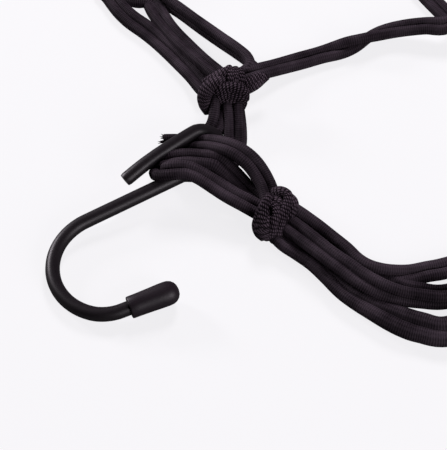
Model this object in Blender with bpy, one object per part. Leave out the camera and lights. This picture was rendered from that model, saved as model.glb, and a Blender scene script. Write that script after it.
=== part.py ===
"""Elastic cargo net with coated wire hooks, lying slack on a flat surface.

The edge of the net is a bundle of three doubled elastic cords, knotted where the inner cords end.
Three inner cords cross three others, woven over and under. Six open wire hooks with rubber tips
are each caught in a bight of the edge bundle, between a side knot and a binding knot.

Lengths in the tables are millimetres; MM turns them into metres. +Z is up, the surface is z = 0.
"""

import math

import bmesh
import bpy
import numpy as np
from mathutils import Matrix, Vector

MM = 0.001

# Driving sizes of the net.
CELLS = 4
PITCH = 78.0
SIDE = CELLS * PITCH
SIDE_BOW = {"front": 17.0, "right": 9.0, "back": 13.0, "left": 5.0}
KNOT_PULL = 11.0  # a side knot beside a hook is drawn back along its side by the bight

# A doubled cord, seen across: two 3 mm elastic cords side by side.
PAIR_WIDE = 6.2
PAIR_HIGH = 3.3
FLOOR_Z = PAIR_HIGH / 2 + 0.05
OVER_Z = FLOOR_Z + PAIR_HIGH + 0.8

# Knots: rounded lumps with a flat underside.
SIDE_KNOT_RADIUS = 7.0
SIDE_KNOT_HIGH = 10.5
BIND_KNOT_RADIUS = 6.2
BIND_KNOT_HIGH = 10.0
KNOT_SIDES = 8
CLEARANCE = 0.3

# Distance between the rings of a cord's solid, by how tightly it bends.
BIGHT_SPACING = 10.5
EDGE_SPACING = 27
INNER_SPACING = 13

# The hook, in the frame of the side knot that it hangs beside.
WIRE_RADIUS = 2.0
WIRE_SIDES = 8
BEND_RADIUS = 15.92
BEND_CENTRE = (-57.73, -33.70)
SHANK_HEADING = -4.0
LEG_HEADING = -10.3
LEG_LENGTH = 1.2
LEG_PULL = 0.82  # the bend tightens by this much beside the leg
LEG_PULL_SHARE = 0.19  # over this share of the bend
LEG_EASE = 4.7  # degrees of the bend that the pull takes off
SHANK_LENGTH = 39.4
EYE_RADIUS = 4.85
EYE_SWEEP = 189.4
TAIL_LENGTH = 23.9
REST_Z = 3.32  # height of the bend's centre, so that the bend and the tip touch the surface
LEAN_X = 0.08
LEAN_Y = 0.003
EYE_TOP_Z = 9.5
TAIL_END_Z = 6.4
TAIL_DROOP = 2.6  # the tail falls as this power of the share of its length

# The rubber tip: profile (distance from the mouth, radius), then the bore for the wire's end.
TIP_LENGTH = 14.2
TIP_BORE = 2.3
TIP_BORE_DEPTH = 8.3
WIRE_IN_TIP = 8.0
TIP_SIDES = 10
TIP_PROFILE = (
    (0.0, 2.9),
    (0.3, 3.1),
    (6.0, 3.22),
    (10.6, 3.36),
    (12.6, 2.95),
    (13.8, 1.8),
)

# The three doubled cords of a bight, from the side knot, under and round the eye, to the binding knot.
# Columns: x, y (from the side knot), z.
BIGHT = {
    "upper": (
        (2.4, 1.4, 4.2),
        (0.8, -2.5, 5.6),
        (-0.9, -5.7, 5.8),
        (-2.1, -8.1, 5.0),
        (-3.4, -10.5, 3.8),
        (-4.9, -13.0, 3.1),
        (-6.6, -15.7, 3.1),
        (-9.3, -17.7, 3.1),
        (-12.7, -17.8, 3.1),
        (-16.1, -16.2, 3.1),
        (-18.6, -13.8, 3.1),
        (-20.8, -11.4, 3.2),
        (-22.3, -10.5, 4.8),
        (-21.2, -11.0, 5.8),
        (-18.6, -12.8, 7.2),
        (-16.3, -15.7, 9.2),
        (-14.2, -19.1, 10.8),
        (-12.3, -22.5, 11.6),
        (-10.6, -25.9, 11.4),
        (-9.4, -29.4, 10.4),
        (-8.9, -33.1, 8.8),
        (-9.1, -36.8, 7.4),
        (-10.1, -40.4, 6.6),
    ),
    "middle": (
        (1.0, 2.5, 4.0),
        (-2.5, -1.4, 5.6),
        (-4.6, -4.3, 5.0),
        (-6.5, -6.8, 3.8),
        (-9.4, -8.7, 3.1),
        (-15.0, -9.5, 3.1),
        (-19.6, -10.4, 3.1),
        (-24.1, -10.6, 3.1),
        (-27.5, -11.4, 3.4),
        (-28.9, -12.8, 5.4),
        (-28.8, -14.4, 7.6),
        (-26.3, -15.8, 8.8),
        (-23.3, -17.8, 9.4),
        (-20.3, -20.4, 9.8),
        (-17.5, -23.0, 9.8),
        (-16.0, -25.2, 8.4),
        (-14.8, -27.3, 6.6),
        (-14.0, -29.8, 5.4),
        (-13.5, -32.9, 5.0),
        (-12.8, -37.0, 5.0),
        (-11.8, -41.2, 5.0),
    ),
    "lower": (
        (3.0, 2.8, 3.1),
        (1.3, -2.0, 3.8),
        (-0.4, -5.9, 3.4),
        (-2.0, -9.3, 3.1),
        (-3.7, -12.5, 3.1),
        (-5.8, -15.8, 3.1),
        (-8.4, -18.5, 3.1),
        (-11.7, -20.5, 3.1),
        (-16.1, -20.5, 3.1),
        (-20.2, -19.0, 3.1),
        (-24.0, -16.6, 3.1),
        (-28.2, -15.2, 3.1),
        (-30.7, -15.5, 4.6),
        (-31.8, -16.9, 7.6),
        (-30.5, -19.0, 9.8),
        (-28.2, -20.6, 10.4),
        (-26.0, -22.3, 10.6),
        (-23.8, -25.1, 9.8),
        (-21.6, -29.0, 8.6),
        (-19.4, -33.4, 7.6),
        (-17.1, -37.4, 6.8),
        (-14.9, -40.8, 5.8),
        (-13.1, -43.6, 5.0),
    ),
}
BIND_KNOT = (-12.1, -44.7)

# The same three cords from the binding knot round a corner of the net, to the first side knot past it.
# The rows are for the corner whose next knot lies at CORNER_END; elsewhere they stretch to their own.
# Columns: x, y, z, roll in degrees (90 stands the cord on its edge).
CORNER = {
    "upper": (
        (-10.6, -43.0, 4.6, -40),
        (-7.2, -48.2, 5.4, -75),
        (-3.5, -53.8, 3.7, -80),
        (-0.8, -64.2, 3.3, -80),
        (1.4, -72.9, 3.1, -70),
        (9.5, -79.0, 2.0, -15),
        (20.1, -82.6, 1.8, 0),
        (34.0, -86.5, 1.8, 0),
        (54.0, -93.0, 1.7, 0),
        (68.0, -98.5, 3.0, 0),
        (76.0, -102.5, 4.6, 0),
    ),
    "middle": (
        (-12.0, -45.5, 4.4, -10),
        (-9.3, -54.0, 6.0, -20),
        (-6.5, -64.4, 5.6, -20),
        (-2.9, -74.7, 4.6, -25),
        (3.2, -83.8, 3.4, -70),
        (13.2, -91.6, 3.3, -80),
        (36.0, -96.6, 2.6, -45),
        (52.0, -97.5, 1.7, 0),
        (67.0, -101.5, 2.8, 0),
        (76.0, -104.0, 4.0, 0),
    ),
    "lower": (
        (-13.9, -46.0, 3.2, 20),
        (-11.9, -57.6, 3.0, 35),
        (-8.6, -67.4, 2.8, 35),
        (-6.3, -78.4, 2.8, 32),
        (-2.5, -87.3, 2.9, 25),
        (2.1, -94.7, 3.0, 20),
        (20.0, -102.3, 2.6, 15),
        (34.0, -104.5, 2.0, 0),
        (54.0, -106.5, 1.7, 0),
        (68.0, -106.5, 2.6, 0),
        (76.0, -105.0, 3.6, 0),
    ),
}
CORNER_END = (76.5, -103.8)

# The stretch of the bundle that runs into the side knot from the knot before it: one doubled cord
# stands off from the others. The rows stretch to the knot before, nominally at LONG_GAP_START.
# Columns: x, y, z, roll.
LONG_GAP = {
    "outer": (
        (0.5, 70.5, 4.0, 0),
        (-2.0, 64.0, 2.4, 0),
        (-7.6, 58.7, 1.7, 0),
        (-8.0, 53.5, 1.7, 0),
        (-8.1, 47.7, 1.7, 0),
        (-7.4, 42.1, 1.7, 0),
        (-5.8, 35.8, 1.9, 0),
        (-4.5, 29.1, 2.1, 0),
        (-3.4, 21.0, 2.4, 0),
        (-2.9, 13.2, 3.0, 10),
        (-3.1, 7.0, 3.8, 20),
        (-3.0, 3.4, 3.8, 30),
    ),
    "centre": (
        (0.5, 70.5, 4.6, 0),
        (3.0, 62.0, 2.8, 0),
        (4.1, 51.4, 1.7, 0),
        (2.3, 46.6, 1.7, 0),
        (1.0, 41.4, 1.8, 0),
        (0.2, 35.8, 2.0, 0),
        (0.1, 29.7, 2.4, 10),
        (0.7, 22.5, 3.0, 15),
        (1.5, 15.1, 3.8, 20),
        (2.1, 8.7, 4.8, 20),
        (2.3, 4.1, 5.2, 10),
    ),
    "inner": (
        (0.5, 70.5, 3.4, 90),
        (3.0, 62.0, 3.1, 90),
        (3.5, 49.2, 3.1, 90),
        (4.9, 41.9, 3.1, 90),
        (6.7, 35.4, 3.1, 90),
        (8.5, 27.7, 3.2, 90),
        (10.6, 19.5, 3.4, 90),
        (12.4, 12.8, 3.6, 85),
        (13.2, 7.4, 4.0, 75),
        (12.3, 3.8, 4.2, 45),
        (8.2, 2.9, 3.6, 20),
    ),
}
LONG_GAP_START = (0.5, 73.0)
LONG_GAP_FIXED = 0.72  # share of the stretch, from the side knot, that keeps its rows as they are

# Plain stretches: sideways place of each doubled cord at the knots and at mid-length, and the
# share of the length where it stands widest.
PLAIN = (
    # at_knot, at_middle, widest
    (-2.6, -5.2, 0.42),
    (0.0, 0.6, 0.50),
    (1.6, 6.8, 0.60),
)
PLAIN_HEIGHTS = (4.0, 2.2, FLOOR_Z, FLOOR_Z, FLOOR_Z, 2.2, 4.0)

# How far a crossing of the inner cords lies from its even place.
CROSSING_SLACK = {
    # (column, row): (x, y)
    (1, 1): (-6.3, 5.8),
    (2, 1): (3.0, 2.0),
    (3, 1): (-1.0, -4.0),
    (1, 2): (2.5, 3.0),
    (2, 2): (-3.0, -2.0),
    (3, 2): (2.0, 4.0),
    (1, 3): (-1.5, -3.0),
    (2, 3): (2.0, 3.5),
    (3, 3): (-3.0, -1.0),
}
WAVE = 2.2  # sideways wander of an inner cord between crossings

# The lowest row's first stretch, from the first side knot to its first crossing: x, y (from the knot), z.
FIRST_INNER = (
    (0.0, 0.0, 4.2),
    (11.3, 2.2, 3.9),
    (22.9, 1.0, 2.2),
    (34.5, -1.3, 1.8),
    (45.3, -3.4, 1.8),
    (55.3, -4.4, 2.7),
    (61.0, -7.2, 5.6),
    (66.0, -10.3, 5.6),
    (70.8, -13.6, 5.6),
)

HUMP_TOP = 5.5  # half the length of the flat top where one inner cord passes over another
KNOT_EXIT_Z = 4.2

# The edge, walked so that the net is on the left hand: the lattice place of each side knot, and the
# quarter turn of the hook that follows it (None where no hook follows).
EDGE = (
    # (column, row), quarter_turns, next_is_round_a_corner
    ((0, 1), 0, True),
    ((1, 0), None, False),
    ((2, 0), None, False),
    ((3, 0), 1, True),
    ((4, 1), 2, False),
    ((4, 2), None, False),
    ((4, 3), 2, True),
    ((3, 4), None, False),
    ((2, 4), None, False),
    ((1, 4), 3, True),
    ((0, 3), 0, False),
    ((0, 2), None, False),
)

# Finishes: colour, roughness, metallic.
FINISHES = {
    "elastic_cord": ((0.014, 0.012, 0.015), 0.75, 0.0),
    "coated_wire": ((0.012, 0.012, 0.013), 0.36, 0.0),
    "rubber_tip": ((0.011, 0.011, 0.011), 0.58, 0.0),
}


def clear_scene():
    for thing in list(bpy.data.objects):
        bpy.data.objects.remove(thing, do_unlink=True)


def finish(name):
    """The material of one finish, made once."""
    found = bpy.data.materials.get(name)
    if found:
        return found
    colour, roughness, metallic = FINISHES[name]
    material = bpy.data.materials.new(name)
    material.use_nodes = True
    shader = material.node_tree.nodes["Principled BSDF"]
    shader.inputs["Base Color"].default_value = (*colour, 1.0)
    shader.inputs["Roughness"].default_value = roughness
    shader.inputs["Metallic"].default_value = metallic
    material.diffuse_color = (*colour, 1.0)
    return material


def object_from_rings(name, rings, finish_name):
    """A closed tube through rings of points in millimetres: (ring, side, xyz). Both ends are capped."""
    rings = np.asarray(rings, dtype=float) * MM
    count, sides = rings.shape[:2]
    bm = bmesh.new()
    rows = [[bm.verts.new(point) for point in ring] for ring in rings]
    for a, b in zip(rows, rows[1:]):
        for i in range(sides):
            j = (i + 1) % sides
            bm.faces.new((a[i], a[j], b[j], b[i]))
    bm.faces.new(rows[0][::-1])
    bm.faces.new(rows[-1])
    bmesh.ops.recalc_face_normals(bm, faces=bm.faces)
    mesh = bpy.data.meshes.new(name)
    bm.to_mesh(mesh)
    bm.free()
    mesh.shade_smooth()
    mesh.set_sharp_from_angle(angle=math.radians(55))
    made = bpy.data.objects.new(name, mesh)
    bpy.context.scene.collection.objects.link(made)
    made.data.materials.append(finish(finish_name))
    return made


def smooth_route(points, spacing):
    """Points about spacing apart along a smooth curve through the given points."""
    points = np.asarray(points, dtype=float)
    ends = [2 * points[0] - points[1], 2 * points[-1] - points[-2]]
    knots = np.vstack([ends[0], points, ends[1]])
    t = np.linspace(0.0, 1.0, 12, endpoint=False)[:, None]
    fine = []
    for p, q, r, s in zip(knots, knots[1:], knots[2:], knots[3:]):
        linear = (r - p) * t
        square = (2 * p - 5 * q + 4 * r - s) * t**2
        cube = (3 * q - p - 3 * r + s) * t**3
        fine.append(q + (linear + square + cube) / 2)
    fine = np.vstack([*fine, points[-1]])
    along = np.concatenate([[0.0], np.cumsum(np.linalg.norm(np.diff(fine[:, :3], axis=0), axis=1))])
    count = max(2, round(along[-1] / spacing) + 1)
    even = np.linspace(0.0, along[-1], count)
    return np.column_stack([np.interp(even, along, column) for column in fine.T])


def carried_frames(route):
    """Side and up directions along a route, carried without twist, starting with the side level."""
    tangents = np.gradient(route, axis=0)
    tangents /= np.linalg.norm(tangents, axis=1)[:, None]
    side = np.cross(tangents[0], (0.0, 0.0, 1.0))
    side /= np.linalg.norm(side)
    sides = []
    for tangent in tangents:
        side = side - tangent * np.dot(side, tangent)
        side /= np.linalg.norm(side)
        sides.append(side)
    sides = np.array(sides)
    return sides, np.cross(sides, tangents)


def rolled_frames(route):
    """Side and up directions along a route whose fourth column is the cord's roll in degrees."""
    tangents = np.gradient(route[:, :3], axis=0)
    sides = np.cross(tangents, (0.0, 0.0, 1.0))
    sides /= np.linalg.norm(sides, axis=1)[:, None]
    tangents /= np.linalg.norm(tangents, axis=1)[:, None]
    ups = np.cross(sides, tangents)
    roll = np.radians(route[:, 3])[:, None]
    return np.cos(roll) * sides + np.sin(roll) * ups, np.cos(roll) * ups - np.sin(roll) * sides


def pair_section(wide, high):
    """Six-sided section of two round cords side by side."""
    x, shoulder, y = wide / 2, wide / 2 - 0.38 * high, high / 2
    return ((x, 0), (shoulder, y), (-shoulder, y), (-x, 0), (-shoulder, -y), (shoulder, -y))


def round_section(radius, sides):
    """Regular section with a flat facing each way."""
    turns = (np.arange(sides) + 0.5) * 2 * math.pi / sides
    reach = radius / math.cos(math.pi / sides)
    return tuple((reach * math.cos(turn), reach * math.sin(turn)) for turn in turns)


def swept(name, route, section, finish_name):
    """A section carried along a route, rolled where the route has a fourth column."""
    sides, ups = rolled_frames(route) if route.shape[1] > 3 else carried_frames(route)
    section = np.array(section)
    rings = route[:, None, :3] + sides[:, None] * section[None, :, :1] + ups[:, None] * section[None, :, 1:]
    return object_from_rings(name, rings, finish_name)


def turned(name, profile, place, finish_name):
    """A closed profile (along, radius) turned about the local X axis, put in place by a matrix."""
    turns = np.arange(TIP_SIDES) * 2 * math.pi / TIP_SIDES
    rings = [
        [tuple(place @ Vector((along, radius * math.cos(turn), radius * math.sin(turn)))) for turn in turns]
        for along, radius in profile
    ]
    return object_from_rings(name, rings, finish_name)


def knot_lump(name, centre, radius, high, grow=0.0):
    """A squat rounded lump that stands flat on the surface; grow gives the space it keeps clear."""
    middle = high / 2
    foot = 0.0 - grow
    half = high / 2 + grow
    levels = np.array([foot, 0.25 * high, middle, 0.78 * high, high + grow])
    lift = np.clip(np.abs(levels - middle) / (half * 1.04), 0.0, 1.0)
    widths = (radius + grow) * (1 - lift**2.6) ** (1 / 2.6)
    turns = np.arange(KNOT_SIDES) * 2 * math.pi / KNOT_SIDES
    rings = [
        [(centre[0] + w * math.cos(t), centre[1] + w * math.sin(t), z) for t in turns]
        for w, z in zip(widths, levels)
    ]
    return object_from_rings(name, rings, "elastic_cord")


def make_guide(thing):
    thing.hide_render = True
    thing.display_type = "WIRE"


def join_onto(base, others):
    """Unites the others with the base, keeping them as guides."""
    group = bpy.data.collections.new(base.name + "_joined")
    bpy.context.scene.collection.children.link(group)
    for thing in others:
        make_guide(thing)
        bpy.context.scene.collection.objects.unlink(thing)
        group.objects.link(thing)
    union = base.modifiers.new("joined", "BOOLEAN")
    union.operation = "UNION"
    union.operand_type = "COLLECTION"
    union.collection = group


def keep_clear_of(base, clearing):
    """Cuts from the base the space that a neighbour keeps."""
    cut = base.modifiers.new("clear_" + clearing.name, "BOOLEAN")
    cut.operation = "DIFFERENCE"
    cut.object = clearing


def turned_about_knot(points, knot, quarter_turns):
    """Points of the side knot's own frame, turned by quarter turns and moved to the knot."""
    points = np.asarray(points, dtype=float)
    angle = quarter_turns * math.pi / 2
    turn = np.array([[math.cos(angle), -math.sin(angle)], [math.sin(angle), math.cos(angle)]])
    placed = points.copy()
    placed[:, :2] = points[:, :2] @ turn.T + knot
    return placed


def lattice(column, row):
    """Even place of a lattice point on the net with bowed sides."""
    u, v = column / CELLS, row / CELLS
    across, upward = 4 * u * (1 - u), 4 * v * (1 - v)
    x = SIDE * u - SIDE_BOW["left"] * (1 - u) * upward + SIDE_BOW["right"] * u * upward
    y = SIDE * v - SIDE_BOW["front"] * (1 - v) * across + SIDE_BOW["back"] * v * across
    return np.array([x, y])


def edge_knots():
    """Place of each side knot: beside a hook it is drawn back along its side."""
    places = []
    for (column, row), quarter_turns, _ in EDGE:
        place = lattice(column, row)
        if quarter_turns is not None:
            angle = quarter_turns * math.pi / 2
            place = place + KNOT_PULL * np.array([-math.sin(angle), math.cos(angle)])
        places.append(place)
    return places


def stretched(points, nominal_end, real_end, start_share=0.45):
    """Moves the far part of a route so that it ends where it really has to."""
    points = np.asarray(points, dtype=float).copy()
    steps = np.linalg.norm(np.diff(points[:, :2], axis=0), axis=1)
    share = np.concatenate([[0.0], np.cumsum(steps)]) / steps.sum()
    ramp = np.clip((share - start_share) / (1 - start_share), 0.0, 1.0)
    ramp = ramp**2 * (3 - 2 * ramp)
    points[:, :2] += ramp[:, None] * (np.asarray(real_end) - np.asarray(nominal_end))
    return points


def plain_routes(start, end):
    """The three doubled cords of a plain stretch between two knots."""
    heading = (end - start) / np.linalg.norm(end - start)
    across = np.array([-heading[1], heading[0]])
    share = np.linspace(0.0, 1.0, len(PLAIN_HEIGHTS))
    routes = []
    for at_knot, at_middle, widest in PLAIN:
        bulge = np.sin(math.pi * share ** (math.log(0.5) / math.log(widest)))
        offset = at_knot + (at_middle - at_knot) * bulge**2.2
        flat = start + share[:, None] * (end - start) + offset[:, None] * across
        routes.append(np.column_stack([flat, PLAIN_HEIGHTS]))
    return routes


def bundle(name, routes, own_knot, spacing):
    """One stretch of the edge: its doubled cords and the knot at its start, as one solid."""
    cords = []
    for number, route in enumerate(routes):
        section = pair_section(PAIR_WIDE + 0.07 * number, PAIR_HIGH + 0.04 * number)
        cords.append(swept(f"{name}_cord_{number}", cord_route(route, spacing), section, "elastic_cord"))
    own_knot.name = name
    join_onto(own_knot, cords)
    return own_knot


def inner_route(points, crossings_over, head=()):
    """A wandering route through crossings, in a low hump over some and flat under the others.

    A head gives the rows of the first stretch, up to its crossing, in place of the wander.
    """
    points = np.asarray(points, dtype=float)
    rows = [tuple(row) for row in head] or [(*points[0], KNOT_EXIT_Z)]
    for index, (a, b) in enumerate(zip(points, points[1:])):
        if index == 0 and len(head):
            continue
        heading = (b - a) / np.linalg.norm(b - a)
        across = np.array([-heading[1], heading[0]])
        wander = WAVE if index % 2 else -WAVE
        if index and crossings_over[index - 1]:
            rows.append((*(a + HUMP_TOP * heading), OVER_Z))
        for share, sideways in ((0.22, 0.5), (0.5, 1.0), (0.78, 0.4)):
            rows.append((*(a + share * (b - a) + sideways * wander * across), FLOOR_Z))
        if index < len(crossings_over) and crossings_over[index]:
            rows.append((*(b - HUMP_TOP * heading), OVER_Z))
    rows.append((*points[-1], KNOT_EXIT_Z))
    return rows


def crossing(column, row):
    return lattice(column, row) + np.array(CROSSING_SLACK[(column, row)])


def hook_route():
    """The wire's middle line from its end in the tip, round the bend, up the shank and round the eye."""
    centre = np.array(BEND_CENTRE)
    shank = math.radians(SHANK_HEADING)
    leg = math.radians(LEG_HEADING)
    toward_shank = np.array([math.cos(shank), math.sin(shank)])
    toward_tip = np.array([math.cos(leg), math.sin(leg)])
    left_of_shank = np.array([-toward_shank[1], toward_shank[0]])

    def lean(flat):
        return REST_Z + LEAN_X * (flat[0] - centre[0]) + LEAN_Y * (flat[1] - centre[1])

    rows = []
    last = leg - math.pi / 2 - math.radians(LEG_EASE)
    leg_start = centre + (BEND_RADIUS - LEG_PULL) * np.array([math.cos(last), math.sin(last)])
    for reach in (LEG_LENGTH + WIRE_IN_TIP, LEG_LENGTH):
        flat = leg_start + reach * toward_tip
        rows.append((*flat, lean(flat)))
    bend_turns = np.linspace(last, shank - 1.5 * math.pi, 12)
    for share, turn in zip(np.linspace(0.0, 1.0, 12), bend_turns):
        tighter = LEG_PULL * max(0.0, 1.0 - share / LEG_PULL_SHARE) ** 1.5
        flat = centre + (BEND_RADIUS - tighter) * np.array([math.cos(turn), math.sin(turn)])
        rows.append((*flat, lean(flat)))
    shank_start = centre + BEND_RADIUS * left_of_shank
    for share in (0.25, 0.5, 0.75):
        flat = shank_start + share * SHANK_LENGTH * toward_shank
        rows.append((*flat, lean(flat)))
    shank_end = shank_start + SHANK_LENGTH * toward_shank
    eye = shank_end + EYE_RADIUS * left_of_shank
    eye_turns = shank - math.pi / 2 + np.radians(np.linspace(0.0, EYE_SWEEP, 8))
    for share, turn in zip(np.linspace(0.0, 1.0, 8), eye_turns):
        flat = eye + EYE_RADIUS * np.array([math.cos(turn), math.sin(turn)])
        rise = share**2 * (3 - 2 * share)
        rows.append((*flat, lean(shank_end) * (1 - rise) + EYE_TOP_Z * rise))
    tail = eye_turns[-1] + math.pi / 2
    for share in (0.5, 0.8, 1.0):
        along = share * TAIL_LENGTH * np.array([math.cos(tail), math.sin(tail)])
        rows.append((*(flat + along), EYE_TOP_Z + share**TAIL_DROOP * (TAIL_END_Z - EYE_TOP_Z)))
    return np.array(rows)


def tip_place(wire_rows):
    """The tip's own frame: local X runs along the leg, away from the bend, from the mouth."""
    mouth = Vector(wire_rows[1])
    along = (Vector(wire_rows[0]) - mouth).normalized()
    side = Vector((0.0, 0.0, 1.0)).cross(along).normalized()
    up = along.cross(side)
    frame = Matrix((along, side, up)).transposed().to_4x4()
    frame.translation = mouth
    return frame


def make_hook(number, knot, quarter_turns):
    """One wire hook with its rubber tip, and the space that the wire keeps clear of the cords."""
    wire_rows = turned_about_knot(hook_route(), knot, quarter_turns)
    name = f"hook_{number}"
    swept(name + "_wire", wire_rows, round_section(WIRE_RADIUS, WIRE_SIDES), "coated_wire")
    outer = [*TIP_PROFILE, (TIP_LENGTH, 0.5)]
    place = tip_place(wire_rows)
    tip = turned(name + "_tip", outer, place, "rubber_tip")
    hollow = turned(name + "_bore", [(-1.0, TIP_BORE), (TIP_BORE_DEPTH, TIP_BORE)], place, "rubber_tip")
    make_guide(hollow)
    keep_clear_of(tip, hollow)
    clear = swept(
        name + "_clear", wire_rows, round_section(WIRE_RADIUS + CLEARANCE, WIRE_SIDES), "coated_wire"
    )
    make_guide(clear)
    return clear


def make_edge():
    """The knotted edge bundle with its six hooks. Returns the space round each side knot."""
    places = edge_knots()
    clears = {}
    binders = {}
    for (at, quarter_turns, _), place in zip(EDGE, places):
        key = f"{at[0]}{at[1]}"
        clears[at] = knot_lump("clear_" + key, place, SIDE_KNOT_RADIUS, SIDE_KNOT_HIGH, CLEARANCE)
        make_guide(clears[at])
        if quarter_turns is not None:
            binders[at] = turned_about_knot([BIND_KNOT], place, quarter_turns)[0]
    hook_number = 0
    for index, ((at, quarter_turns, corner), place) in enumerate(zip(EDGE, places)):
        following = (index + 1) % len(EDGE)
        next_at, next_place = EDGE[following][0], places[following]
        key = f"{at[0]}{at[1]}"
        knot = knot_lump("knot_" + key, place, SIDE_KNOT_RADIUS, SIDE_KNOT_HIGH)
        if quarter_turns is None:
            routes = edge_stretch(place, next_place, next_at)
            if next_at == (0, 1):
                clears["long_gap"] = space_round("clear_long_gap", routes[-1])
            run = bundle("edge_cord_" + key, routes, knot, EDGE_SPACING)
            keep_clear_of(run, clears[next_at])
            continue
        hook_number += 1
        hook_clear = make_hook(hook_number, place, quarter_turns)
        bind_clear = knot_lump(
            "bind_clear_" + key, binders[at], BIND_KNOT_RADIUS, BIND_KNOT_HIGH, CLEARANCE
        )
        make_guide(bind_clear)
        routes = [turned_about_knot(rows, place, quarter_turns) for rows in BIGHT.values()]
        bight = bundle("hook_bight_" + key, routes, knot, BIGHT_SPACING)
        keep_clear_of(bight, bind_clear)
        keep_clear_of(bight, hook_clear)
        binding = knot_lump("bind_" + key, binders[at], BIND_KNOT_RADIUS, BIND_KNOT_HIGH)
        if corner:
            end = turned_about_knot([CORNER_END], place, quarter_turns)[0]
            routes = [
                stretched(turned_about_knot(rows, place, quarter_turns), end, next_place)
                for rows in CORNER.values()
            ]
            run = bundle("corner_cord_" + key, routes, binding, EDGE_SPACING)
        else:
            run = bundle("bound_cord_" + key, plain_routes(binders[at], next_place), binding, EDGE_SPACING)
        keep_clear_of(run, clears[next_at])
    return clears


def cord_route(points, spacing):
    """A smooth route that never dips into the surface, also where the cord stands on its edge."""
    route = smooth_route(points, spacing)
    lowest = FLOOR_Z
    if route.shape[1] > 3:
        roll = np.radians(route[:, 3])
        lowest = np.abs(np.sin(roll)) * PAIR_WIDE / 2 + np.abs(np.cos(roll)) * PAIR_HIGH / 2 + 0.15
    route[:, 2] = np.maximum(route[:, 2], lowest)
    return route


def space_round(name, route):
    """A guide: the space that a doubled cord keeps clear of its neighbours."""
    section = pair_section(PAIR_WIDE + 2.5 * CLEARANCE, PAIR_HIGH + 2 * CLEARANCE)
    space = swept(name, cord_route(route, EDGE_SPACING), section, "elastic_cord")
    make_guide(space)
    return space


def edge_stretch(place, next_place, next_at):
    """Routes of a stretch with no hook: the long-gapped one before the first side knot, or a plain one."""
    if next_at != (0, 1):
        return plain_routes(place, next_place)
    routes = []
    for rows in LONG_GAP.values():
        backward = turned_about_knot(rows, next_place, 0)[::-1]
        start = np.array(LONG_GAP_START) + next_place
        routes.append(stretched(backward, start, place, LONG_GAP_FIXED)[::-1])
    return routes


def make_inner(clears):
    """Three doubled cords each way, woven, each ending in the side knots."""
    places = {at: place for (at, _, _), place in zip(EDGE, edge_knots())}
    for row in range(1, CELLS):
        points = [places[(0, row)], *(crossing(c, row) for c in range(1, CELLS)), places[(CELLS, row)]]
        over = [(column + row) % 2 == 0 for column in range(1, CELLS)]
        neighbours = [clears[(0, row)], clears[(CELLS, row)]]
        if row == 1:
            neighbours.append(clears["long_gap"])
        head = turned_about_knot(FIRST_INNER, points[0], 0) if row == 1 else ()
        weave_cord(f"inner_cord_row_{row}", inner_route(points, over, head), neighbours)
    for column in range(1, CELLS):
        points = [places[(column, 0)], *(crossing(column, r) for r in range(1, CELLS)), places[(column, CELLS)]]
        over = [(column + row) % 2 == 1 for row in range(1, CELLS)]
        neighbours = [clears[(column, 0)], clears[(column, CELLS)]]
        weave_cord(f"inner_cord_column_{column}", inner_route(points, over), neighbours)


def weave_cord(name, points, neighbours):
    """One inner cord lying flat along its route, kept clear of the knots that it runs into."""
    route = cord_route(points, INNER_SPACING)
    route = np.column_stack([route, np.zeros(len(route))])
    cord = swept(name, route, pair_section(PAIR_WIDE, PAIR_HIGH), "elastic_cord")
    for neighbour in neighbours:
        keep_clear_of(cord, neighbour)


def centre_on_surface():
    """Moves everything so that the origin is under the middle of the whole outline."""
    bpy.context.view_layer.update()
    graph = bpy.context.evaluated_depsgraph_get()
    corners = []
    for thing in bpy.context.scene.objects:
        if thing.hide_render:
            continue
        evaluated = thing.evaluated_get(graph)
        corners += [evaluated.matrix_world @ Vector(corner) for corner in evaluated.bound_box]
    corners = np.array(corners)
    low, high = corners.min(axis=0), corners.max(axis=0)
    shift = Vector((-(low[0] + high[0]) / 2, -(low[1] + high[1]) / 2, -low[2]))
    for thing in bpy.context.scene.objects:
        thing.location += shift
    return shift


def main():
    clear_scene()
    clears = make_edge()
    make_inner(clears)
    shift = centre_on_surface()
    print("centred by", tuple(round(value / MM, 3) for value in shift), "mm")


main()
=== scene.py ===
"""Elastic cargo net with coated wire hooks, as it is rendered.

The net lies slack on a pale floor. Its edge is a bundle of three doubled elastic cords, knotted where
the inner cords end; each hook is caught in a bight of the bundle between a side knot and a binding
knot. Every doubled cord is laid here as its two round strands with a ribbed woven sleeve, every knot as
its passes of strand over a core, and every hook as bent coated wire with a rubber tip.

Tables are in millimetres. A station is the neighbourhood of one hook, measured from its side knot;
quarter turns carry it round the net.
"""

import logging
import math
from dataclasses import dataclass, field
from enum import Enum, IntEnum
from typing import Sequence

import bpy
import numpy as np
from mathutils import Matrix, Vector


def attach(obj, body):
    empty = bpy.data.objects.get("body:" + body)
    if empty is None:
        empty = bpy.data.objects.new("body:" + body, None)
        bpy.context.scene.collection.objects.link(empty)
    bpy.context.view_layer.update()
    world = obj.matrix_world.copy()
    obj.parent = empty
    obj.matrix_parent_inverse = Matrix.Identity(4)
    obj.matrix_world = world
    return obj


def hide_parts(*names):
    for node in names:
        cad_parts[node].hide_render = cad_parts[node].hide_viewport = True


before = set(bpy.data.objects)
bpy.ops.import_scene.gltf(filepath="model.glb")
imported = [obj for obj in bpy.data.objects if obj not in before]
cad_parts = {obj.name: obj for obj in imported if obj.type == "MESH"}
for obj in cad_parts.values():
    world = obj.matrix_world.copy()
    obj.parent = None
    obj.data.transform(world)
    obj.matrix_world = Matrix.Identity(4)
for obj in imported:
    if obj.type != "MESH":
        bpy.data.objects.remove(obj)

LOG = logging.getLogger("cargo_net")
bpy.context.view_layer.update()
MM = 0.001
BODY = "root"
UPRIGHT = np.array([0.0, 0.0, 1.0])
SIDE_WHERE_UPRIGHT = np.array([6e-7, 8e-7, 0.0])  # a path that stands upright has no level side of its own
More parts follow.
